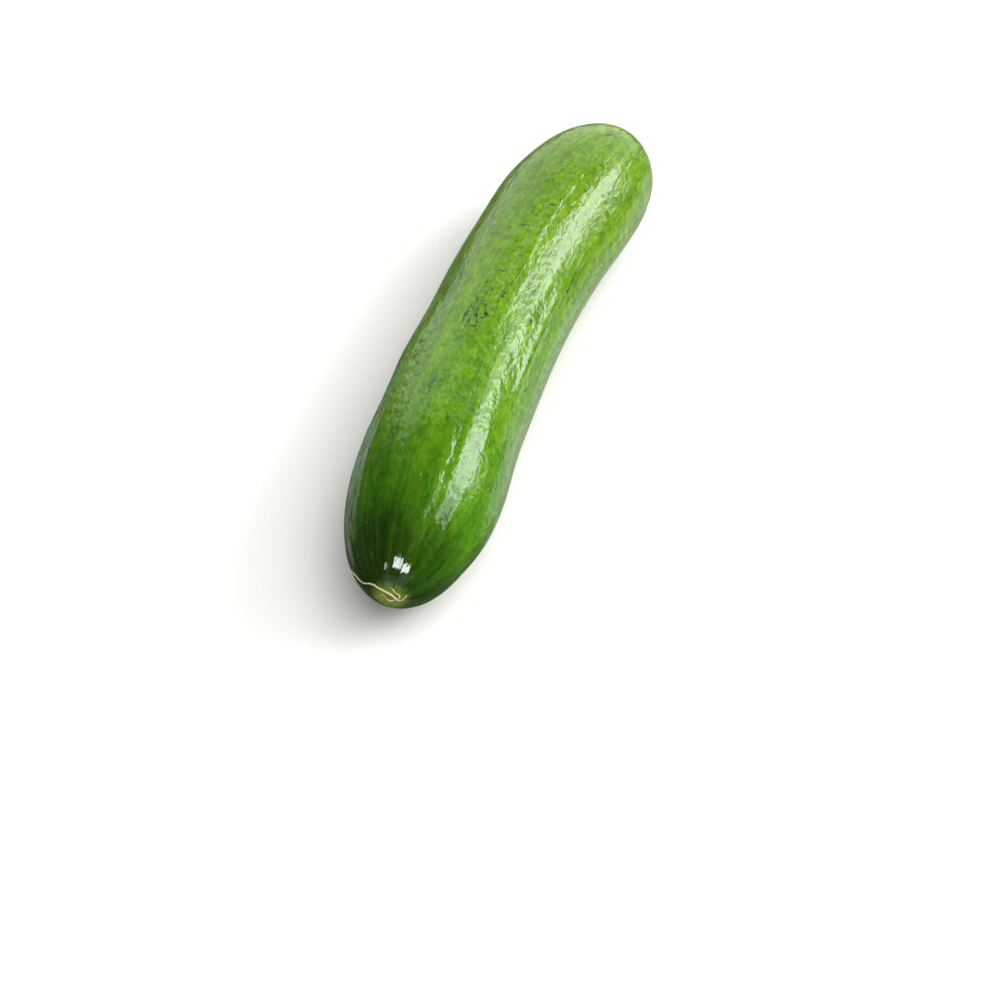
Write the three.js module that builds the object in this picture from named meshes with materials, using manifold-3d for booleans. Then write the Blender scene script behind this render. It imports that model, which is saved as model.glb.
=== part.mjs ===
// A small smooth-skinned cucumber, as picked, lying on its side, and the dried thread of its flower.
// Millimetres, +Z up. The blossom end points to -X, the stem end to +X, and the fruit bows towards +Y.

import * as THREE from "three";
import { mergeVertices } from "three/addons/utils/BufferGeometryUtils.js";
import ManifoldModule from "manifold-3d";

// The fruit's length, and its radius before the ends round off.
const FRUIT_LENGTH = 155;
const BLOSSOM_RADIUS = 20.3;
const STEM_RADIUS = 17.8;
const WAIST_DEPTH = 2.45;

// How far back each end starts to round off, and how bluntly it does so.
const BLOSSOM_ROUNDING = 47.8;
const BLOSSOM_BLUNTNESS = 2.2;
const STEM_ROUNDING = 31.8;
const STEM_BLUNTNESS = 2.44;

// The bend, sideways and level. Each tip turns back a little over the last few millimetres.
const BOW = 6.3;
const BOW_TOWARDS_STEM = 0.63;
const BLOSSOM_TIP_TURN = 2.4;
const STEM_TIP_TURN = 2.7;
const TIP_TURN_REACH = 18.6;

// The round scars where the flower dried off and where the stem was.
const BLOSSOM_SCAR_WIDTH = 6.5;
const BLOSSOM_SCAR_DEPTH = 0.5;
const STEM_SCAR_WIDTH = 8;
const STEM_SCAR_DEPTH = 0.8;

// How far the skin presses flat where the fruit rests.
const REST_FLAT_DEPTH = 0.2;

// The dried thread, and its clearance from the skin. Its path is given across the blossom end, as
// millimetres sideways (+Y) and up (+Z) from the fruit's axis, each with its lift off the skin.
const THREAD_THICKNESS = 0.6;
const THREAD_CLEARANCE = 0.3;
const THREAD_PATH = [
  [-1.6, -0.4, 0],
  [-0.1, 1.1, 0],
  [1.4, 2.1, 0],
  [3.3, 2.5, 0],
  [4.8, 2.2, 0],
  [6.6, 0.8, 0],
  [8.7, 0.3, 0],
  [9.9, -0.4, 0.1],
  [11.0, -1.9, 0.5],
  [11.7, -3.9, 1.3],
];

// How finely the shapes are drawn, and how often the fruit is levelled again.
const RINGS = 56;
const SIDES = 40;
const THREAD_SIDES = 8;
const THREAD_STEPS = 44;
const SETTLING_TURNS = 6;

const UP = new THREE.Vector3(0, 0, 1);

// From 0 at the tip to 1 where the rounding ends.
function roundEnd(distance, rounding, bluntness) {
  const share = Math.min(distance / rounding, 1);
  return Math.sqrt(1 - (1 - share) ** bluntness);
}

// The fruit's radius at a distance from the blossom tip.
function girth(along) {
  const share = along / FRUIT_LENGTH;
  const taper = BLOSSOM_RADIUS + (STEM_RADIUS - BLOSSOM_RADIUS) * share;
  const waist = WAIST_DEPTH * 4 * share * (1 - share);
  const blossom = roundEnd(along, BLOSSOM_ROUNDING, BLOSSOM_BLUNTNESS);
  const stem = roundEnd(FRUIT_LENGTH - along, STEM_ROUNDING, STEM_BLUNTNESS);
  return (taper - waist) * blossom * stem;
}

// The fruit's middle line.
function spine(along) {
  const fromMiddle = (2 * along) / FRUIT_LENGTH - 1;
  const bow = BOW * (1 - fromMiddle ** 2) * (1 + BOW_TOWARDS_STEM * fromMiddle);
  const blossomTurn = BLOSSOM_TIP_TURN * Math.exp(-along / TIP_TURN_REACH);
  const stemTurn = STEM_TIP_TURN * Math.exp((along - FRUIT_LENGTH) / TIP_TURN_REACH);
  return new THREE.Vector3(along - FRUIT_LENGTH / 2, bow - blossomTurn - stemTurn, 0);
}

function spineDirection(along) {
  const step = 0.5;
  return spine(along + step).sub(spine(along - step)).normalize();
}

// A point at a place along the fruit, and a distance from its middle line at an angle from sideways to up.
function aroundSpine(along, radius, angle) {
  const sideways = new THREE.Vector3().crossVectors(UP, spineDirection(along));
  return spine(along)
    .addScaledVector(sideways, radius * Math.cos(angle))
    .addScaledVector(UP, radius * Math.sin(angle));
}

// A round hollow that fades out at its edge.
function hollow(radius, width, depth) {
  const share = Math.min((2 * radius) / width, 1);
  return (depth * (1 + Math.cos(Math.PI * share))) / 2;
}

function skinPoint(along, angle) {
  const radius = girth(along);
  const nearBlossom = along < FRUIT_LENGTH / 2;
  const inwards = nearBlossom
    ? hollow(radius, BLOSSOM_SCAR_WIDTH, BLOSSOM_SCAR_DEPTH)
    : -hollow(radius, STEM_SCAR_WIDTH, STEM_SCAR_DEPTH);
  return aroundSpine(along, radius, angle).addScaledVector(spineDirection(along), inwards);
}

function skinNormal(along, angle) {
  const step = 0.01;
  const lengthwise = skinPoint(along + step, angle).sub(skinPoint(along - step, angle));
  const across = skinPoint(along, angle + step).sub(skinPoint(along, angle - step));
  return across.cross(lengthwise).normalize();
}

// The place along the blossom end where the skin reaches a radius.
function alongAtGirth(radius) {
  let low = 0;
  let high = BLOSSOM_ROUNDING;
  for (let i = 0; i < 40; i += 1) {
    const middle = (low + high) / 2;
    if (girth(middle) < radius) low = middle;
    else high = middle;
  }
  return (low + high) / 2;
}

// A straight turned shape, then each of its points carried to its place on the bent fruit.
function fruitGeometry() {
  const profile = [];
  for (let i = 0; i < RINGS; i += 1) {
    const along = (FRUIT_LENGTH * (1 - Math.cos((Math.PI * i) / (RINGS - 1)))) / 2;
    const atTip = i === 0 || i === RINGS - 1;
    profile.push(new THREE.Vector2(atTip ? 0 : girth(along), along));
  }
  const geometry = new THREE.LatheGeometry(profile, SIDES);
  const position = geometry.attributes.position;
  const point = new THREE.Vector3();
  for (let i = 0; i < position.count; i += 1) {
    point.fromBufferAttribute(position, i);
    const bent = skinPoint(point.y, Math.atan2(point.x, point.z));
    position.setXYZ(i, bent.x, bent.y, bent.z);
  }
  return geometry;
}

function threadGeometry() {
  const points = THREAD_PATH.map(([sideways, up, lift]) => {
    const along = alongAtGirth(Math.hypot(sideways, up));
    const angle = Math.atan2(up, sideways);
    const offSkin = THREAD_CLEARANCE + THREAD_THICKNESS / 2 + lift;
    return skinPoint(along, angle).addScaledVector(skinNormal(along, angle), offSkin);
  });
  const section = new THREE.Shape();
  for (let i = 0; i < THREAD_SIDES; i += 1) {
    const angle = (2 * Math.PI * i) / THREAD_SIDES;
    const x = (THREAD_THICKNESS / 2) * Math.cos(angle);
    const y = (THREAD_THICKNESS / 2) * Math.sin(angle);
    if (i === 0) section.moveTo(x, y);
    else section.lineTo(x, y);
  }
  section.closePath();
  const path = new THREE.CatmullRomCurve3(points, false, "centripetal");
  return new THREE.ExtrudeGeometry(section, { extrudePath: path, steps: THREAD_STEPS, bevelEnabled: false });
}

// The turn that brings the lowest points of the fruit's two halves level.
function levellingTurn(geometry) {
  const position = geometry.attributes.position;
  const lowest = [new THREE.Vector3(), new THREE.Vector3()];
  const point = new THREE.Vector3();
  for (let i = 0; i < position.count; i += 1) {
    point.fromBufferAttribute(position, i);
    const half = lowest[point.x < 0 ? 0 : 1];
    if (point.z < half.z) half.copy(point);
  }
  const [blossom, stem] = lowest;
  const slope = Math.atan2(stem.z - blossom.z, stem.x - blossom.x);
  return new THREE.Matrix4().makeRotationY(slope);
}

// Turns the fruit until both its swollen ends touch a level surface, and returns the whole turn.
function settle(geometry) {
  const wholeTurn = new THREE.Matrix4();
  for (let i = 0; i < SETTLING_TURNS; i += 1) {
    const turn = levellingTurn(geometry);
    geometry.applyMatrix4(turn);
    wholeTurn.premultiply(turn);
  }
  return wholeTurn;
}

function bareGeometry(geometry) {
  const bare = geometry.clone();
  bare.deleteAttribute("normal");
  bare.deleteAttribute("uv");
  return mergeVertices(bare, 1e-4);
}

function toSolid(wasm, geometry) {
  const merged = bareGeometry(geometry);
  const mesh = new wasm.Mesh({
    numProp: 3,
    vertProperties: new Float32Array(merged.attributes.position.array),
    triVerts: new Uint32Array(merged.index.array),
  });
  return new wasm.Manifold(mesh);
}

function toGeometry(solid) {
  const mesh = solid.getMesh();
  const geometry = new THREE.BufferGeometry();
  geometry.setAttribute("position", new THREE.BufferAttribute(mesh.vertProperties, mesh.numProp));
  geometry.setIndex(new THREE.BufferAttribute(mesh.triVerts, 1));
  geometry.computeVertexNormals();
  return geometry;
}

// Cuts the underside level, a little above its lowest point.
function flattenUnderside(wasm, geometry) {
  geometry.computeBoundingBox();
  const lowest = geometry.boundingBox.min.z;
  const slab = new THREE.BoxGeometry(2 * FRUIT_LENGTH, FRUIT_LENGTH, FRUIT_LENGTH);
  slab.translate(0, 0, lowest + REST_FLAT_DEPTH - FRUIT_LENGTH / 2);
  return toGeometry(toSolid(wasm, geometry).subtract(toSolid(wasm, slab)));
}

function named(name, geometry, colour, roughness) {
  const material = new THREE.MeshStandardMaterial({ color: colour, roughness, metalness: 0 });
  const mesh = new THREE.Mesh(geometry, material);
  mesh.name = name;
  return mesh;
}

const wasm = await ManifoldModule();
wasm.setup();

const fruit = fruitGeometry();
const settlingTurn = settle(fruit);
const thread = threadGeometry().applyMatrix4(settlingTurn);

const cucumber = new THREE.Group();
cucumber.add(named("cucumber", flattenUnderside(wasm, fruit), "#5f8d2c", 0.32));
cucumber.add(named("blossom_thread", thread, "#d9dfae", 0.7));

// Stands the group on the ground plane, with the middle of its plan at the origin.
const box = new THREE.Box3().setFromObject(cucumber);
const centre = box.getCenter(new THREE.Vector3());
cucumber.position.set(-centre.x, -centre.y, -box.min.z);

export default cucumber;
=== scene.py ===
# A small smooth-skinned cucumber lying on its side on a pale floor, with the dried thread of its flower.
# Metres, +Z up. The blossom end points to -X, the stem end to +X, and the fruit bows towards +Y.

import math
from bisect import bisect_left

import bmesh
import bpy
from mathutils import Matrix, Vector, noise
from mathutils.bvhtree import BVHTree


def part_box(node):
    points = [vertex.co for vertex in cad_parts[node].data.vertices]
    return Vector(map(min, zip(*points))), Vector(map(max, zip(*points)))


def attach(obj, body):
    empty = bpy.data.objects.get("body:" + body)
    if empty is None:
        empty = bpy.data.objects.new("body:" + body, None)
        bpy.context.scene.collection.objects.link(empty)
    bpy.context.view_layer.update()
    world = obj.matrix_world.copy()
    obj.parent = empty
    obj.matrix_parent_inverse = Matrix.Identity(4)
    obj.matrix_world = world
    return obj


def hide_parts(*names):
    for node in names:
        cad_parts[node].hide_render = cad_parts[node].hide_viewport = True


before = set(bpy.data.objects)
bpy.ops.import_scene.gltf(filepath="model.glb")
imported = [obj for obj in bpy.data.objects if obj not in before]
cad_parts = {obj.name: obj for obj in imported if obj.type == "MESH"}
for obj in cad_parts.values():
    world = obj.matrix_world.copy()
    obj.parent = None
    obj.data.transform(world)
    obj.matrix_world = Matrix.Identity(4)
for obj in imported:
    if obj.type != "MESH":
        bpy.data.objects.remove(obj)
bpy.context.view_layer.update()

MM = 0.001
UP = Vector((0, 0, 1))

# The fruit, as in the CAD model.
LENGTH = 155 * MM
BLOSSOM_RADIUS = 20.3 * MM
STEM_RADIUS = 17.8 * MM
WAIST_DEPTH = 2.45 * MM
BLOSSOM_ROUNDING = 47.8 * MM
BLOSSOM_BLUNTNESS = 2.2
STEM_ROUNDING = 31.8 * MM
STEM_BLUNTNESS = 2.44
BOW = 6.3 * MM
BOW_TOWARDS_STEM = 0.63
BLOSSOM_TIP_TURN = 2.4 * MM
STEM_TIP_TURN = 2.7 * MM
TIP_TURN_REACH = 18.6 * MM
BLOSSOM_SCAR_WIDTH = 6.5 * MM
BLOSSOM_SCAR_DEPTH = 0.5 * MM
STEM_SCAR_WIDTH = 8 * MM
STEM_SCAR_DEPTH = 0.8 * MM

# The radius that patterns around the fruit are measured on.
PATTERN_RADIUS = 17 * MM

# The waves of the relief fade out where the fruit is thinner than this radius, since they would be pinched.
SMOOTH_TIP_RADIUS = 14 * MM

# Farther along the skin from each tip than this, the scars' own relief is left out.
SCAR_ZONE = 12 * MM

# No part of the skin is lower than this.
FLOOR_CLEARANCE = 0.02 * MM

# The skin's length is summed over this many steps.
PROFILE_STEPS = 4000

# The skin mesh: rows of faces are this long in the middle and this short at the tips.
SIDES = 300
MIDDLE_ROW = 0.58 * MM
TIP_ROW = 0.16 * MM
TIP_ZONE = 14 * MM


# ---------------------------------------------------------------- the fruit's shape


def round_end(distance, rounding, bluntness):
    """From 0 at the tip to 1 where the rounding ends."""
    share = min(max(distance / rounding, 0), 1)
    return math.sqrt(1 - (1 - share) ** bluntness)


def girth(along):
    """The fruit's radius at a distance from the blossom tip."""
    share = along / LENGTH
    taper = BLOSSOM_RADIUS + (STEM_RADIUS - BLOSSOM_RADIUS) * share
    waist = WAIST_DEPTH * 4 * share * (1 - share)
    blossom = round_end(along, BLOSSOM_ROUNDING, BLOSSOM_BLUNTNESS)
    stem = round_end(LENGTH - along, STEM_ROUNDING, STEM_BLUNTNESS)
    return (taper - waist) * blossom * stem


def spine(along):
    """The fruit's middle line."""
    middle = 2 * along / LENGTH - 1
    bow = BOW * (1 - middle**2) * (1 + BOW_TOWARDS_STEM * middle)
    blossom_turn = BLOSSOM_TIP_TURN * math.exp(-along / TIP_TURN_REACH)
    stem_turn = STEM_TIP_TURN * math.exp((along - LENGTH) / TIP_TURN_REACH)
    return Vector((along - LENGTH / 2, bow - blossom_turn - stem_turn, 0))


def spine_direction(along):
    step = 0.5 * MM
    return (spine(along + step) - spine(along - step)).normalized()


def hollow(radius, width, depth):
    """A round hollow that fades out at its edge."""
    share = min(2 * radius / width, 1)
    return depth * (1 + math.cos(math.pi * share)) / 2


def skin_point(along, radius, angle):
    """A place on the plain fruit, at an angle from sideways (+Y) to up."""
    direction = spine_direction(along)
    sideways = UP.cross(direction)
    if along < LENGTH / 2:
        inwards = hollow(radius, BLOSSOM_SCAR_WIDTH, BLOSSOM_SCAR_DEPTH)
    else:
        inwards = -hollow(radius, STEM_SCAR_WIDTH, STEM_SCAR_DEPTH)
    around = sideways * (radius * math.cos(angle)) + UP * (radius * math.sin(angle))
    return spine(along) + around + direction * inwards


def along_at_girth(radius):
    """The place along the blossom end where the skin reaches a radius."""
    low, high = 0.0, BLOSSOM_ROUNDING
    for _ in range(40):
        middle = (low + high) / 2
        if girth(middle) < radius:
            low = middle
        else:
            high = middle
    return (low + high) / 2


def skin_stations():
    """Places along the fruit, close together at the tips, and the skin's length as far as each."""
    turns = [math.pi * i / PROFILE_STEPS for i in range(PROFILE_STEPS + 1)]
    places = [LENGTH * (1 - math.cos(turn)) / 2 for turn in turns]
    lengths = [0.0]
    for a, b in zip(places, places[1:]):
        lengths.append(lengths[-1] + math.hypot(b - a, girth(b) - girth(a)))
    whole = lengths[-1]
    stations, run = [(0.0, 0.0)], 0.0
    while True:
        from_tip = min(run, whole - run)
        run += TIP_ROW + (MIDDLE_ROW - TIP_ROW) * min(max(from_tip, 0) / TIP_ZONE, 1)
        if run > whole - TIP_ROW / 2:
            break
        i = bisect_left(lengths, run)
        share = (run - lengths[i - 1]) / (lengths[i] - lengths[i - 1])
        stations.append((places[i - 1] + (places[i] - places[i - 1]) * share, run))
    stations.append((LENGTH, whole))
    return stations


STATIONS = skin_stations()
SKIN_LENGTH = STATIONS[-1][1]


# ---------------------------------------------------------------- relief of the skin


def ripple(length, angle, along_size, around_size, shift=0.0):
    """Smooth noise from -1 to 1 on the skin, with waves of these sizes along and around the fruit."""
    return noise.noise(
        Vector(
            (
                length / along_size + shift,
                PATTERN_RADIUS * math.cos(angle) / around_size,
                PATTERN_RADIUS * math.sin(angle) / around_size + shift,
            )
        )
    )


# Gentle swellings and dips: place along, angle in degrees (90 is the top), reach along, reach around in
# degrees, and height.
SWELLINGS = (
    (20 * MM, 185, 6 * MM, 35, -0.35 * MM),
    (37 * MM, 192, 9 * MM, 35, 0.5 * MM),
    (58 * MM, 175, 9 * MM, 35, -0.35 * MM),
    (72 * MM, 22, 9 * MM, 35, 0.35 * MM),
    (92 * MM, 32, 11 * MM, 35, -0.4 * MM),
    (131 * MM, 30, 8 * MM, 35, 0.4 * MM),
    (139 * MM, 186, 8 * MM, 35, -0.3 * MM),
    (156 * MM, 165, 6 * MM, 35, 0.35 * MM),
)

# Ribs and creases that run along the fruit: start, end, angle in degrees at each, half width in degrees,
# and height.
RIBS = (
    (72 * MM, 142 * MM, 102, 104, 4.5, 0.36 * MM),
    (60 * MM, 104 * MM, 144.5, 145, 4.5, 0.32 * MM),
    (70 * MM, 128 * MM, 124, 120, 3, -0.06 * MM),
    (20 * MM, 60 * MM, 114, 112, 3.5, -0.1 * MM),
    (30 * MM, 120 * MM, 70, 66, 6, 0.14 * MM),
    (18 * MM, 95 * MM, 35, 30, 5, -0.1 * MM),
    (50 * MM, 140 * MM, 166, 168, 5, 0.12 * MM),
    (25 * MM, 110 * MM, 205, 208, 6, 0.15 * MM),
    (60 * MM, 140 * MM, 246, 240, 5, 0.13 * MM),
    (25 * MM, 90 * MM, 285, 280, 6, 0.14 * MM),
    (70 * MM, 145 * MM, 325, 330, 5, 0.15 * MM),
)


def swelling(length, angle):
    """The height of the swellings and dips together."""
    height = 0.0
    for place, degrees, reach, spread, rise in SWELLINGS:
        turn = (math.degrees(angle) - degrees + 180) % 360 - 180
        height += rise * math.exp(-(((length - place) / reach) ** 2) - (turn / spread) ** 2)
    return height


def ribs(length, angle):
    """The height of the ribs and creases together."""
    height = 0.0
    for start, end, first, last, spread, rise in RIBS:
        share = (length - start) / (end - start)
        if 0 < share < 1:
            middle = first + (last - first) * share
            turn = (math.degrees(angle) - middle + 180) % 360 - 180
            if abs(turn) < 3 * spread:
                fade = math.sin(math.pi * share) ** 0.5
                height += rise * fade * math.exp(-((turn / spread) ** 2))
    return height


def scar_relief(radius, angle, at_blossom):
    """The puckered rim and the small button of dead tissue in each scar."""
    width = BLOSSOM_SCAR_WIDTH if at_blossom else STEM_SCAR_WIDTH
    rim = math.exp(-(((radius - 0.55 * width) / (0.14 * width)) ** 2))
    button = math.exp(-((radius / (0.15 * width)) ** 4))
    pucker = math.cos(11 * angle + 2 * math.sin(3 * angle))
    reach = math.exp(-(((radius - 0.6 * width) / (0.4 * width)) ** 2))
    return (0.12 * rim + 0.28 * button + 0.05 * pucker * reach) * MM


def relief(length, radius, angle):
    """How far the real skin stands off the plain shape."""
    from_tip = min(length, SKIN_LENGTH - length)
    whole = min(radius / SMOOTH_TIP_RADIUS, 1) ** 3
    height = swelling(length, angle) + ribs(length, angle)
    height += 0.16 * MM * whole * math.cos(3 * angle + 0.6)
    height += 0.14 * MM * whole * ripple(length, angle, 38 * MM, 2.7 * MM)
    height += 0.08 * MM * whole * ripple(length, angle, 14 * MM, 9 * MM, 7.3)
    height += 0.03 * MM * whole * ripple(length, angle, 9 * MM, 1.5 * MM, 3.1)
    height += 0.012 * MM * whole * ripple(length, angle, 2.6 * MM, 2.0 * MM, 5.7)
    if from_tip < SCAR_ZONE:
        height += scar_relief(radius, angle, length < SKIN_LENGTH / 2)
    return height


# ---------------------------------------------------------------- the skin mesh


def turned_fruit():
    """A straight closed turned shape with its axis along X and its blossom tip at zero."""
    bm = bmesh.new()
    last = len(STATIONS) - 1
    profile = [
        bm.verts.new((along, girth(along) if 0 < i < last else 0, 0))
        for i, (along, _) in enumerate(STATIONS)
    ]
    edges = [bm.edges.new(pair) for pair in zip(profile, profile[1:])]
    bmesh.ops.spin(
        bm,
        geom=profile + edges,
        cent=(0, 0, 0),
        axis=(1, 0, 0),
        dvec=(0, 0, 0),
        angle=math.tau,
        steps=SIDES,
        use_merge=True,
        use_normal_flip=False,
        use_duplicate=False,
    )
    bmesh.ops.remove_doubles(bm, verts=bm.verts, dist=1e-7)
    return bm


def settling(bm):
    """The turn that lets both swollen ends touch the floor, and the shift onto the CAD fruit."""
    turn = Matrix.Identity(4)
    for _ in range(6):
        placed = [turn @ v.co for v in bm.verts]
        blossom = min((p for p in placed if p.x < 0), key=lambda p: p.z)
        stem = min((p for p in placed if p.x >= 0), key=lambda p: p.z)
        slope = math.atan2(stem.z - blossom.z, stem.x - blossom.x)
        turn = Matrix.Rotation(slope, 4, "Y") @ turn
    placed = [turn @ v.co for v in bm.verts]
    low = Vector([min(p[i] for p in placed) for i in range(3)])
    high = Vector([max(p[i] for p in placed) for i in range(3)])
    cad_low, cad_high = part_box("cucumber")
    shift = (cad_low + cad_high - low - high) / 2
    shift.z = cad_high.z - high.z
    return Matrix.Translation(shift) @ turn


def build_skin():
    bm = turned_fruit()
    bm.verts.ensure_lookup_table()
    places = [along for along, _ in STATIONS]
    grown = bm.verts.layers.float_vector.new("grown")
    facts = []
    for v in bm.verts:
        along = v.co.x
        radius = math.hypot(v.co.y, v.co.z)
        angle = math.atan2(v.co.z, v.co.y)
        length = STATIONS[min(bisect_left(places, along - 1e-6), len(places) - 1)][1]
        facts.append((length, radius, angle))
        v[grown] = (
            length,
            PATTERN_RADIUS * math.cos(angle),
            PATTERN_RADIUS * math.sin(angle),
        )
        v.co = skin_point(along, radius, angle)
    place = settling(bm)
    bmesh.ops.transform(bm, matrix=place, verts=bm.verts)
    bmesh.ops.recalc_face_normals(bm, faces=bm.faces)
    bm.normal_update()
    offsets = [v.normal * relief(*fact) for v, fact in zip(bm.verts, facts)]
    for v, offset in zip(bm.verts, offsets):
        v.co += offset
        v.co.z = max(v.co.z, FLOOR_CLEARANCE)
    unwrap_skin(bm, grown)
    for face in bm.faces:
        face.smooth = True
    bm.normal_update()
    return bm, place


def unwrap_skin(bm, grown):
    """A map in millimetres, along the fruit and around it from the top, cut open underneath."""
    layer = bm.loops.layers.uv.new("skin_map")
    for face in bm.faces:
        turns = [math.atan2(-loop.vert[grown].y, loop.vert[grown].z) for loop in face.loops]
        across = max(turns) - min(turns) > math.pi
        for loop, turn in zip(face.loops, turns):
            if across and turn < 0:
                turn += math.tau
            loop[layer].uv = (loop.vert[grown].x / MM, turn * PATTERN_RADIUS / MM)


def to_object(bm, name):
    mesh = bpy.data.meshes.new(name)
    bm.to_mesh(mesh)
    made = bpy.data.objects.new(name, mesh)
    bpy.context.scene.collection.objects.link(made)
    return made


# ---------------------------------------------------------------- the dried thread

# Each strand's thickness in millimetres, and its path across the blossom end: millimetres sideways (+Y)
# and up from the fruit's axis, and the lift off the skin. The long one follows the CAD thread.
STRANDS = (
    (
        0.46,
        (
            (-1.6, -0.4, 0),
            (-0.1, 1.1, 0),
            (1.4, 2.1, 0),
            (3.3, 2.5, 0),
            (4.8, 2.2, 0),
            (6.6, 0.8, 0),
            (8.7, 0.3, 0),
            (9.9, -0.4, 0.1),
            (11.0, -1.9, 0.4),
            (11.7, -3.9, 1.0),
        ),
    ),
    (0.3, ((-1.5, -0.5, 0), (-2.2, 0.5, 0.1), (-2.1, 1.6, 0.3), (-1.2, 2.3, 0.2), (-0.4, 3.3, 0))),
    (0.28, ((-1.3, -0.6, 0), (-2.6, -0.3, 0.2), (-3.1, 0.8, 0.5), (-3.6, 1.5, 0.3))),
    (0.24, ((-1.0, -0.7, 0.1), (0.1, -0.6, 0.3), (1.0, 0.1, 0.1), (2.1, 0.2, 0))),
)


def spline(points, steps):
    """A smooth run of points through the given ones."""
    ends = [points[0] * 2 - points[1], *points, points[-1] * 2 - points[-2]]
    run = []
    for a, b, c, d in zip(ends, ends[1:], ends[2:], ends[3:]):
        for i in range(steps):
            t = i / steps
            square = (a * 2 - b * 5 + c * 4 - d) * t**2
            cube = (b * 3 - a - c * 3 + d) * t**3
            run.append((b * 2 + (c - a) * t + square + cube) / 2)
    run.append(points[-1])
    return run


def lay_threads(name, skin_tree, place, strands):
    """Tapering strands that lie on the skin along paths given across the blossom end."""
    curve = bpy.data.curves.new(name, "CURVE")
    curve.dimensions = "3D"
    curve.bevel_depth = 1.0
    curve.bevel_resolution = 2
    curve.use_fill_caps = True
    for number, (thickness, path) in enumerate(strands):
        run = spline([Vector(p) for p in path], 10)
        strand = curve.splines.new("POLY")
        strand.points.add(len(run) - 1)
        for i, (sideways, up, lift) in enumerate(run):
            share = i / (len(run) - 1)
            radius = math.hypot(sideways, up) * MM
            guess = place @ skin_point(along_at_girth(radius), radius, math.atan2(up, sideways))
            spot, normal, _, _ = skin_tree.find_nearest(guess)
            knots = 1 + 0.35 * noise.noise(Vector((i * 0.35, number, 0)))
            thick = thickness / 2 * MM * (1 - 0.55 * share) * knots
            spot += normal * (lift * MM + 0.7 * thick)
            spot += UP * (0.16 * MM * noise.noise(Vector((i * 0.2, number, 4))))
            strand.points[i].co = (*spot, 1)
            strand.points[i].radius = thick
    shape = bpy.data.objects.new(name + "_curve", curve)
    bpy.context.scene.collection.objects.link(shape)
    bpy.context.view_layer.update()
    mesh = bpy.data.meshes.new_from_object(shape.evaluated_get(bpy.context.evaluated_depsgraph_get()))
    bpy.data.objects.remove(shape)
    bm = bmesh.new()
    bm.from_mesh(mesh)
    bpy.data.meshes.remove(mesh)
    bmesh.ops.remove_doubles(bm, verts=bm.verts, dist=1e-6)
    bmesh.ops.recalc_face_normals(bm, faces=bm.faces)
    return bm


# ---------------------------------------------------------------- materials


def linear(hex_colour):
    """An sRGB hex colour as linear red, green, blue and alpha."""
    parts = [int(hex_colour[i : i + 2], 16) / 255 for i in (1, 3, 5)]
    return (*(p / 12.92 if p <= 0.04045 else ((p + 0.055) / 1.055) ** 2.4 for p in parts), 1.0)


def add(tree, kind, inputs=None, stops=None, **settings):
    """Adds a shader node with its settings, its ramp's stops, and its inputs as values or as links.

    A node given as an input is linked by its first output."""
    node = tree.nodes.new("ShaderNode" + kind)
    for name, value in settings.items():
        setattr(node, name, value)
    for i, (position, colour) in enumerate(stops or ()):
        elements = node.color_ramp.elements
        element = elements[i] if i < 2 else elements.new(position)
        element.position = position
        element.color = linear(colour)
    for name, value in (inputs or {}).items():
        if isinstance(value, bpy.types.Node):
            value = value.outputs[0]
        if isinstance(value, bpy.types.NodeSocket):
            tree.links.new(value, node.inputs[name])
        else:
            node.inputs[name].default_value = value
    return node


def new_material(name):
    material = bpy.data.materials.new(name)
    material.use_nodes = True
    tree = material.node_tree
    tree.nodes.clear()
    shader = add(tree, "BsdfPrincipled")
    add(tree, "OutputMaterial", {"Surface": shader.outputs[0]})
    return material, tree, shader


# The body colour at shares of the skin's length from the blossom end. Both ends come first. The dark
# blossom end is partly the fruit's own deeper green and partly painted shade.
BODY_COLOURS = (
    (0.0, "#1c3705"),
    (1.0, "#6a8c20"),
    (0.07, "#264a06"),
    (0.17, "#467a0c"),
    (0.34, "#568410"),
    (0.6, "#628a15"),
)

# The side painted a deeper green near the blossom end as painted shade, as an angle from sideways (+Y) to
# up.
PAINTED_SHADE_SIDE = math.radians(42)

# Streaks of paler and darker cells along the fruit, broad and then fine. Sizes and places are in
# millimetres. A streak fades in between two noise values. It strengthens between two places along the skin.
STREAKS = (
    # length, width, shift, detail, noise values, places, strength before and after, mode, colour
    (40, 3.0, 11.0, 4.0, (0.4, 0.64), (8, 55), (0.07, 0.3), "MIX", "#7ca024"),
    (12, 0.5, 5.0, 2.0, (0.42, 0.66), (12, 60), (0.22, 0.45), "MULTIPLY", "#c3d0a4"),
)

# Mottling: darker flecks 3 mm and 1.5 mm long, and clouds of deeper green 15 mm long.
MOTTLING = (
    # length, width, shift, noise values, strength, colour
    (3.2, 2.0, 8.0, (0.42, 0.66), 0.5, "#bccc98"),
    (1.5, 0.9, 31.0, (0.42, 0.68), 0.6, "#b8c894"),
    (15, 7, 17.0, (0.48, 0.66), 0.4, "#b4c88c"),
)

# Breathing pores: how many to a metre along, across and up, which puts them 3.8 mm apart along the fruit
# and 3 mm apart around it, and the shares of that space between which a pore's edge is soft.
PORES_PER_METRE = (260.0, 330.0, 330.0)
PORE_EDGE = (0.05, 0.12)

# Each pore has a random value. Above 0.7 it is pale and below 0.09 it is dark.
PORE_COLOURS = (
    # random values, shown at the first and at the last, strength, colour
    ((0.7, 0.75), (0.0, 1.0), 0.22, "#b9d08a"),
    ((0.07, 0.09), (1.0, 0.0), 0.55, "#27480a"),
)

# Scratches bend in kinks of this size. Noise that runs from -0.5 to 0.5 is scaled by this many millimetres
# to bend them. The bends widen them, so they are drawn this many times finer.
KINK_SIZE = 2.2 * MM
KINK_REACH = 4.0
SCRATCH_FINENESS = 1.4
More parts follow.
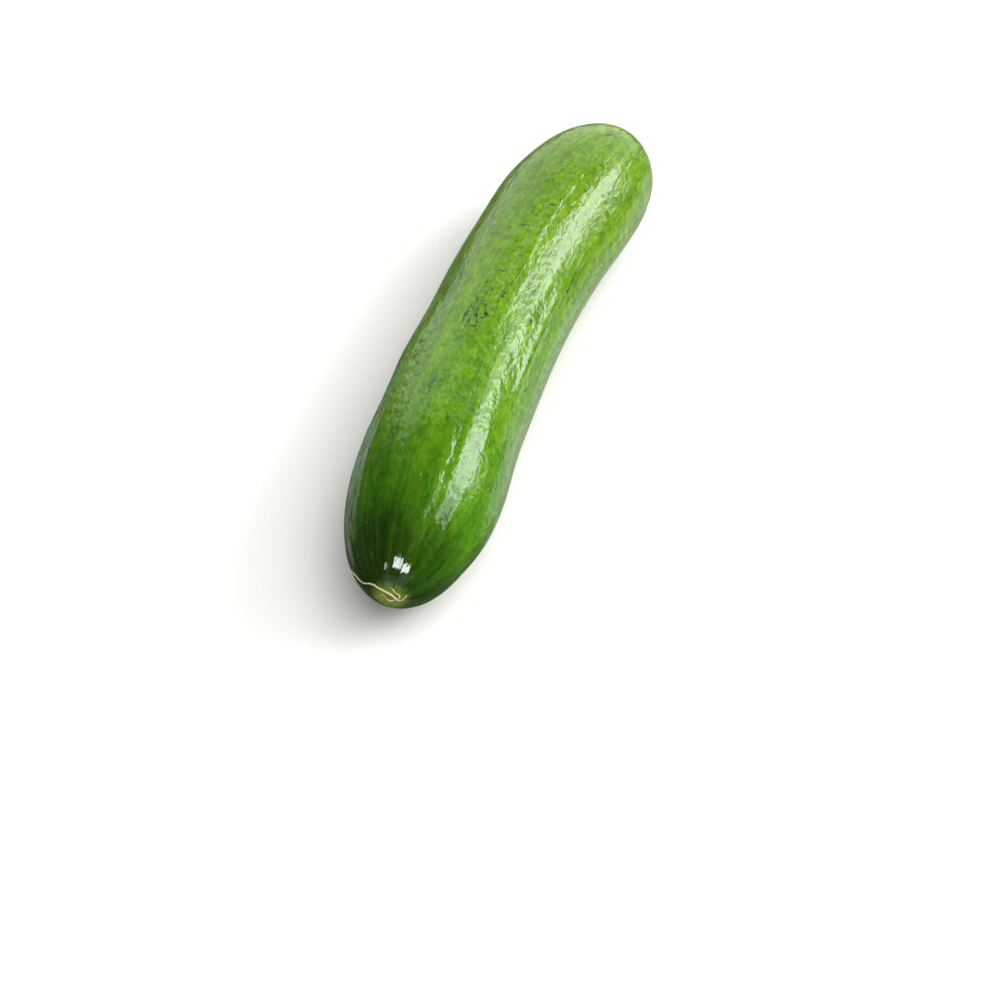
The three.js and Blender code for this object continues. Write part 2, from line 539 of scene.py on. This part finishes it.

# Scratches and nicks that healed dark, and two dark lines along the fruit beside a rib: place along the
# skin and
# # length and width in millimetres, place around in degrees (90 is the top), turn from the fruit's length
# in degrees, and how dark they are.
SCRATCHES = (
    # place, degrees, length, width, turn, darkness
    (56, 79, 12, 0.8, 1, 0.9),
    (83, 82, 24, 0.7, 7, 0.9),
    (80, 85, 12, 0.6, -3, 0.8),
    (79, 93, 11, 0.7, 22, 0.9),
    (82.5, 93, 8, 0.7, -40, 0.8),
    (75.7, 87, 8, 0.7, 42, 0.8),
    (79.5, 89, 7, 0.9, -12, 0.8),
    (86, 88, 9, 0.6, 12, 0.7),
    (93, 104, 24, 0.6, 7, 0.7),
    (123, 105, 15, 0.6, 1, 0.6),
    # These two rows draw dark lines along the fruit at 147 to 152 degrees, just past the rib at 145
    # degrees.
    (84, 147, 28, 0.6, 3.5, 0.8),
    (103, 151.5, 18, 0.8, -3, 0.9),
    (69, 154, 3, 0.6, 35, 0.7),
    (86, 132, 4, 0.6, 80, 0.7),
    (30.5, 99.5, 2.2, 1.4, 0, 0.8),
    (47.5, 99.5, 2.0, 1.3, 30, 0.9),
    (54.5, 105, 1.8, 1.1, 0, 0.7),
    (95.5, 91, 4, 1.1, 60, 0.9),
    (111.5, 91, 4, 0.8, 85, 0.6),
    (120.5, 99.5, 3, 0.8, 70, 0.6),
    (150.5, 96, 6, 1.2, 25, 0.8),
    (26, 106.5, 24, 0.5, -2.5, 0.5),
)


def uneven_growth(tree, place, along, around, detail=3.0, shift=0.0):
    """Noise from 0 to 1 on the grown skin, in features this long and this wide in metres."""
    size = {"Vector": place, "Location": (shift, shift, 0), "Scale": (1 / along, 1 / around, 1 / around)}
    scaled = add(tree, "Mapping", size)
    return add(tree, "TexNoise", {"Vector": scaled, "Scale": 1.0, "Detail": detail, "Roughness": 0.55})


def green_cells(tree, place, length):
    """The body colour: darkest at the blossom end, partly as painted shade, paler to the stem, streaked and
    mottled, with painted shade on one side near the blossom end.
    """
    # Soft clouds about 25 mm long and 8 mm wide break up the edges between colours along the fruit.
    clouds = uneven_growth(tree, place, 25 * MM, 8 * MM, shift=2.0)
    wander = add(tree, "MapRange", {0: clouds, 3: -0.12, 4: 0.12})
    share = add(tree, "MapRange", {0: length, 2: SKIN_LENGTH})
    shifted = add(tree, "Math", {0: share, 1: wander}, operation="ADD")
    body = add(tree, "ValToRGB", {0: shifted}, stops=BODY_COLOURS).outputs[0]

    # Painted shade: the side at this angle is a deeper green near the blossom end.
    shade_side = (0, math.cos(PAINTED_SHADE_SIDE), math.sin(PAINTED_SHADE_SIDE))
    painted_shade = add(tree, "VectorMath", {0: place, 1: shade_side}, operation="DOT_PRODUCT").outputs["Value"]
    edges = {0: painted_shade, 1: 0.2 * PATTERN_RADIUS, 2: 0.95 * PATTERN_RADIUS}
    painted_shade = add(tree, "MapRange", edges, interpolation_type="SMOOTHSTEP")
    edges = {0: length, 1: 28 * MM, 2: 62 * MM, 3: 0.8, 4: 0.0}
    near_blossom = add(tree, "MapRange", edges, interpolation_type="SMOOTHSTEP")
    painted_shade = add(tree, "Math", {0: painted_shade, 1: near_blossom}, operation="MULTIPLY")
    deeper = {0: painted_shade, 6: body, 7: linear("#a6bd7c")}
    body = add(tree, "Mix", deeper, data_type="RGBA", blend_type="MULTIPLY").outputs[2]

    for long, wide, shift, detail, (low, high), (start, end), (before, after), mode, colour in STREAKS:
        cells = uneven_growth(tree, place, long * MM, wide * MM, detail=detail, shift=shift)
        cells = add(tree, "MapRange", {0: cells, 1: low, 2: high}, interpolation_type="SMOOTHSTEP")
        edges = {0: length, 1: start * MM, 2: end * MM, 3: before, 4: after}
        strength = add(tree, "MapRange", edges, interpolation_type="SMOOTHSTEP")
        cells = add(tree, "Math", {0: cells, 1: strength}, operation="MULTIPLY")
        streaked = {0: cells, 6: body, 7: linear(colour)}
        body = add(tree, "Mix", streaked, data_type="RGBA", blend_type=mode).outputs[2]

    for long, wide, shift, (low, high), strength, colour in MOTTLING:
        cells = uneven_growth(tree, place, long * MM, wide * MM, shift=shift)
        cells = add(tree, "MapRange", {0: cells, 1: low, 2: high}, interpolation_type="SMOOTHSTEP")
        cells = add(tree, "Math", {0: cells, 1: strength}, operation="MULTIPLY")
        mottled = {0: cells, 6: body, 7: linear(colour)}
        body = add(tree, "Mix", mottled, data_type="RGBA", blend_type="MULTIPLY").outputs[2]
    return body


def breathing_pores(tree, place, body):
    """The body colour with dots 0.5 mm across over it, most of them pale and some dark."""
    scattered = add(tree, "Mapping", {"Vector": place, "Scale": PORES_PER_METRE})
    pores = add(tree, "TexVoronoi", {"Vector": scattered, "Scale": 1.0})
    chosen = add(tree, "SeparateColor", {0: pores.outputs["Color"]})
    edges = {0: pores.outputs["Distance"], 1: PORE_EDGE[0], 2: PORE_EDGE[1], 3: 1.0, 4: 0.0}
    dots = add(tree, "MapRange", edges, interpolation_type="SMOOTHSTEP")
    for (low, high), (first, last), strength, colour in PORE_COLOURS:
        edges = {0: chosen, 1: low, 2: high, 3: first, 4: last}
        shown = add(tree, "MapRange", edges, interpolation_type="SMOOTHSTEP")
        shown = add(tree, "Math", {0: dots, 1: shown}, operation="MULTIPLY")
        shown = add(tree, "Math", {0: shown, 1: strength}, operation="MULTIPLY")
        body = add(tree, "Mix", {0: shown, 6: body, 7: linear(colour)}, data_type="RGBA").outputs[2]
    return body


def healed_scratches(tree, place):
    """From 0 on whole skin to 1 on a healed scratch and on the dark lines along the fruit: thin lines, bent
    and broken up.
    """
    flat = add(tree, "UVMap", uv_map="skin_map")
    kinks = add(tree, "Mapping", {"Vector": place, "Scale": (1 / KINK_SIZE,) * 3})
    kinks = add(tree, "TexNoise", {"Vector": kinks, "Scale": 1.0, "Detail": 3.0, "Roughness": 0.65})
    kinks = add(tree, "VectorMath", {0: kinks.outputs["Color"], 1: (0.5, 0.5, 0.5)}, operation="SUBTRACT")
    kinks = add(tree, "VectorMath", {0: kinks, "Scale": KINK_REACH}, operation="SCALE")
    bent = add(tree, "VectorMath", {0: flat, 1: kinks}, operation="ADD")
    scratched = None
    for along, degrees, long, wide, turn, dark in SCRATCHES:
        around = math.radians(degrees - 90) * PATTERN_RADIUS / MM
        fitted = {
            "Vector": bent,
            "Location": (along, around, 0),
            "Rotation": (0, 0, math.radians(turn)),
            "Scale": (long / 2, wide / 2 / SCRATCH_FINENESS, 1),
        }
        mark = add(tree, "Mapping", fitted, vector_type="TEXTURE")
        mark = add(tree, "TexGradient", {0: mark}, gradient_type="SPHERICAL").outputs["Fac"]
        mark = add(tree, "Math", {0: mark, 1: dark}, operation="MULTIPLY")
        if scratched is not None:
            mark = add(tree, "Math", {0: scratched, 1: mark}, operation="MAXIMUM")
        scratched = mark
    scratched = add(tree, "MapRange", {0: scratched, 1: 0.02, 2: 0.25}, interpolation_type="SMOOTHSTEP")
    broken = uneven_growth(tree, place, 1.3 * MM, 0.8 * MM, detail=2.0, shift=1.0)
    edges = {0: broken, 1: 0.36, 2: 0.52, 3: 0.45, 4: 1.0}
    broken = add(tree, "MapRange", edges, interpolation_type="SMOOTHSTEP")
    return add(tree, "Math", {0: scratched, 1: broken}, operation="MULTIPLY")


def scar_tissue(tree, place, length, body):
    """The colour with both scars over it: a pale ring with a dry brown middle, each with a torn edge."""
    for tip, direction in ((0.0, 1), (SKIN_LENGTH, -1)):
        near = add(tree, "Math", {0: length, 1: tip}, operation="SUBTRACT")
        near = add(tree, "Math", {0: near, 1: direction}, operation="MULTIPLY")
        torn = uneven_growth(tree, place, 3 * MM, 2.2 * MM, shift=4.0)
        torn = add(tree, "MapRange", {0: torn, 3: -1.6 * MM, 4: 1.6 * MM})
        near = add(tree, "Math", {0: near, 1: torn}, operation="ADD")
        for start, end, strength, colour in (
            (1.8 * MM, 5.5 * MM, 0.6, "#8ea548"),
            (0.5 * MM, 1.7 * MM, 0.85, "#7d6a35"),
        ):
            edges = {0: near, 1: start, 2: end, 3: strength, 4: 0.0}
            shown = add(tree, "MapRange", edges, interpolation_type="SMOOTHSTEP")
            body = add(tree, "Mix", {0: shown, 6: body, 7: linear(colour)}, data_type="RGBA").outputs[2]
    return body


def fine_relief(tree, place, length):
    """Relief too fine for the mesh, in millimetres, which flattens out at the blossom end.

    It sums pebbles of 2.6 by 1.7 mm, a net of shallow grooves between plates of 2.6 by 1.3 mm, and ridges
    along the fruit 0.6 mm apart."""
    pebbles = uneven_growth(tree, place, 2.6 * MM, 1.7 * MM, detail=1.5, shift=9.0)
    pebbles = add(tree, "Math", {0: pebbles, 1: 0.22}, operation="MULTIPLY")
    plates_per_metre = (1 / (2.6 * MM), 1 / (1.3 * MM), 1 / (1.3 * MM))
    plates = add(tree, "Mapping", {"Vector": place, "Scale": plates_per_metre})
    shaken = add(tree, "TexNoise", {"Vector": plates, "Scale": 0.8, "Detail": 0.0})
    plates = add(tree, "VectorMath", {0: plates, 1: shaken.outputs["Color"]}, operation="ADD")
    plates = add(tree, "TexVoronoi", {"Vector": plates, "Scale": 1.0}, feature="DISTANCE_TO_EDGE")
    edges = {0: plates.outputs["Distance"], 1: 0.0, 2: 0.2, 3: 0.0, 4: 0.013}
    plates = add(tree, "MapRange", edges, interpolation_type="SMOOTHSTEP")
    ridges = uneven_growth(tree, place, 9 * MM, 0.6 * MM, detail=1.0, shift=6.0)
    ridges = add(tree, "Math", {0: ridges, 1: 0.008}, operation="MULTIPLY")
    height = add(tree, "Math", {0: pebbles, 1: plates}, operation="ADD")
    height = add(tree, "Math", {0: height, 1: ridges}, operation="ADD")
    edges = {0: length, 1: 8 * MM, 2: 24 * MM, 3: 0.15, 4: 1.0}
    flatter_tip = add(tree, "MapRange", edges, interpolation_type="SMOOTHSTEP")
    return add(tree, "Math", {0: height, 1: flatter_tip}, operation="MULTIPLY")


def wax_gloss(tree, place, length, scratched):
    """The wax's roughness: patchy from handling, duller on scratches, clearest at the blossom end."""
    handled = uneven_growth(tree, place, 14 * MM, 6 * MM, detail=4.0, shift=13.0)
    gloss = add(tree, "MapRange", {0: handled, 1: 0.3, 2: 0.7, 3: 0.11, 4: 0.19})
    dulled = add(tree, "Math", {0: scratched, 1: 0.05}, operation="MULTIPLY")
    gloss = add(tree, "Math", {0: gloss, 1: dulled}, operation="ADD")
    edges = {0: length, 1: 5 * MM, 2: 35 * MM, 3: 0.5, 4: 1.0}
    clearer_tip = add(tree, "MapRange", edges, interpolation_type="SMOOTHSTEP")
    return add(tree, "Math", {0: gloss, 1: clearer_tip}, operation="MULTIPLY")


def skin_material():
    """Cucumber skin, grown and then wiped clean: a thin natural wax over green cells.

    The wax gives a clear broad gloss that fine pebbling breaks up. The cells show as streaks along the
    fruit, darker at the blossom end, partly as painted shade, and lighter towards the stem."""
    material, tree, shader = new_material("waxy_cucumber_skin")
    place = add(tree, "Attribute", attribute_name="grown").outputs["Vector"]
    length = add(tree, "SeparateXYZ", {0: place}).outputs[0]
    scratched = healed_scratches(tree, place)
    body = breathing_pores(tree, place, green_cells(tree, place, length))
    healed = add(tree, "Math", {0: scratched, 1: 0.9}, operation="MULTIPLY")
    body = add(tree, "Mix", {0: healed, 6: body, 7: linear("#12300a")}, data_type="RGBA").outputs[2]
    body = scar_tissue(tree, place, length, body)
    height = fine_relief(tree, place, length)
    bump = add(tree, "Bump", {"Strength": 1.0, "Distance": MM, "Height": height})
    gloss = wax_gloss(tree, place, length, scratched)

    tree.links.new(body, shader.inputs["Base Color"])
    tree.links.new(gloss.outputs[0], shader.inputs["Roughness"])
    tree.links.new(bump.outputs[0], shader.inputs["Normal"])
    shader.inputs["IOR"].default_value = 1.42
    shader.inputs["Subsurface Weight"].default_value = 0.12
    shader.inputs["Subsurface Radius"].default_value = (0.5, 1.0, 0.2)
    shader.inputs["Subsurface Scale"].default_value = 1.5 * MM
    return material


def thread_material():
    """Dried flower tissue, shrivelled in the air until papery and matt, in a greenish cream."""
    material, tree, shader = new_material("dried_flower_tissue")
    place = add(tree, "TexCoord").outputs["Object"]
    grain = add(tree, "TexNoise", {"Vector": place, "Scale": 1400.0, "Detail": 3.0}).outputs[0]
    colour = add(tree, "ValToRGB", {0: grain}, stops=[(0.3, "#b9b978"), (0.7, "#e9e8bd")]).outputs[0]
    bump = add(tree, "Bump", {"Strength": 0.6, "Distance": 0.05 * MM, "Height": grain})
    tree.links.new(colour, shader.inputs["Base Color"])
    tree.links.new(bump.outputs[0], shader.inputs["Normal"])
    shader.inputs["Roughness"].default_value = 0.7
    return material


def floor_material():
    """Matt white-painted board."""
    material, tree, shader = new_material("matt_white_board")
    place = add(tree, "TexCoord").outputs["Object"]
    grain = add(tree, "TexNoise", {"Vector": place, "Scale": 900.0, "Detail": 2.0}).outputs[0]
    colour = add(tree, "ValToRGB", {0: grain}, stops=[(0.0, "#e2e0de"), (1.0, "#e6e5e3")]).outputs[0]
    tree.links.new(colour, shader.inputs["Base Color"])
    shader.inputs["Roughness"].default_value = 0.9
    return material


# ---------------------------------------------------------------- the pieces

skin_bm, on_floor = build_skin()
skin_tree = BVHTree.FromBMesh(skin_bm)
skin = to_object(skin_bm, "fruit_skin")
skin.data.materials.append(skin_material())
skin_bm.free()

thread_bm = lay_threads("thread", skin_tree, on_floor, STRANDS)
for thread_face in thread_bm.faces:
    thread_face.smooth = True
thread = to_object(thread_bm, "dried_thread")
thread.data.materials.append(thread_material())
thread_bm.free()

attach(skin, "root")
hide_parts("cucumber")
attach(thread, "root")
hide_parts("blossom_thread")

# ---------------------------------------------------------------- floor, lights and camera

floor_bm = bmesh.new()
bmesh.ops.create_grid(floor_bm, x_segments=1, y_segments=1, size=3)
floor = to_object(floor_bm, "floor")
floor.data.materials.append(floor_material())
floor_bm.free()
# The board doesn't show in the fruit's gloss. The cards below its level do instead, as a dark table with
# pale things on it would.
floor.visible_glossy = False


MIDDLE = Vector((0, 0, 17 * MM))
LAMP_DISTANCE = 2.5


def lamp(name, azimuth, elevation, across, upright, radiance, glossy=True, diffuse=True):
    """A flat soft lamp that faces the fruit from a direction in degrees, from +X towards +Y and then up.

    It looks this many degrees wide and high, and its radiance is its brightness beside that of a lit white
    wall, which is 1. A lamp that isn't glossy lights the fruit without showing in its gloss, and one that
    isn't diffuse shows only in the gloss."""
    turn, rise = math.radians(azimuth), math.radians(elevation)
    towards = Vector((math.cos(rise) * math.cos(turn), math.cos(rise) * math.sin(turn), math.sin(rise)))
    data = bpy.data.lights.new(name, "AREA")
    data.shape = "RECTANGLE"
    data.size = 2 * LAMP_DISTANCE * math.tan(math.radians(across / 2))
    data.size_y = 2 * LAMP_DISTANCE * math.tan(math.radians(upright / 2))
    data.energy = radiance * math.pi * data.size * data.size_y
    made = bpy.data.objects.new(name, data)
    made.location = MIDDLE + towards * LAMP_DISTANCE
    made.rotation_mode = "QUATERNION"
    made.rotation_quaternion = (-towards).to_track_quat("-Z", "Y")
    made.visible_glossy = glossy
    made.visible_diffuse = diffuse
    bpy.context.scene.collection.objects.link(made)


lamp("key", -49, 27, 21, 28, 11)
lamp("key_inner", -33, 23, 10, 24, 2.9)
lamp("key_side", -71, 34, 14, 26, 5)
lamp("key_low", -54, 6, 8, 12, 4)
lamp("front_window_left", -171, 37, 18, 15, 27, diffuse=False)
lamp("front_window_right", -147, 25, 12, 14, 27, diffuse=False)
lamp("front_window_far", 164, 27, 5, 9, 12, diffuse=False)
lamp("front_table", -165, 5, 70, 20, 0.7, diffuse=False)
lamp("white_wall", 14, 15, 84, 60, 1.28)
lamp("wall_fill", 34, 26, 60, 45, 2.6, glossy=False)
lamp("top_fill", -110, 62, 55, 45, 4.3, glossy=False)
lamp("low_card_right", -38, -32, 26, 26, 0.95)
lamp("low_card_left", 70, -30, 34, 24, 0.5)
lamp("low_card_behind", 6, -44, 44, 26, 0.45)

world = bpy.data.worlds.new("pale_room")
world.use_nodes = True
world.node_tree.nodes["Background"].inputs["Color"].default_value = linear("#ffffff")
world.node_tree.nodes["Background"].inputs["Strength"].default_value = 0.1
bpy.context.scene.world = world

ELEVATION = math.radians(50.54)
AZIMUTH = math.radians(21.84)
DISTANCE = 715.9 * MM
TARGET = Vector((-41.7, -18.3, 17.0)) * MM
FOCAL_LENGTH = 113.4

camera_data = bpy.data.cameras.new("camera")
camera_data.lens = FOCAL_LENGTH
camera_data.sensor_width = 36
camera = bpy.data.objects.new("camera", camera_data)
back = Vector(
    (
        -math.cos(ELEVATION) * math.cos(AZIMUTH),
        -math.cos(ELEVATION) * math.sin(AZIMUTH),
        math.sin(ELEVATION),
    )
)
camera.location = TARGET + back * DISTANCE
camera.rotation_mode = "QUATERNION"
camera.rotation_quaternion = (-back).to_track_quat("-Z", "Y")
bpy.context.scene.collection.objects.link(camera)
bpy.context.scene.camera = camera
bpy.context.scene.view_settings.view_transform = "Standard"
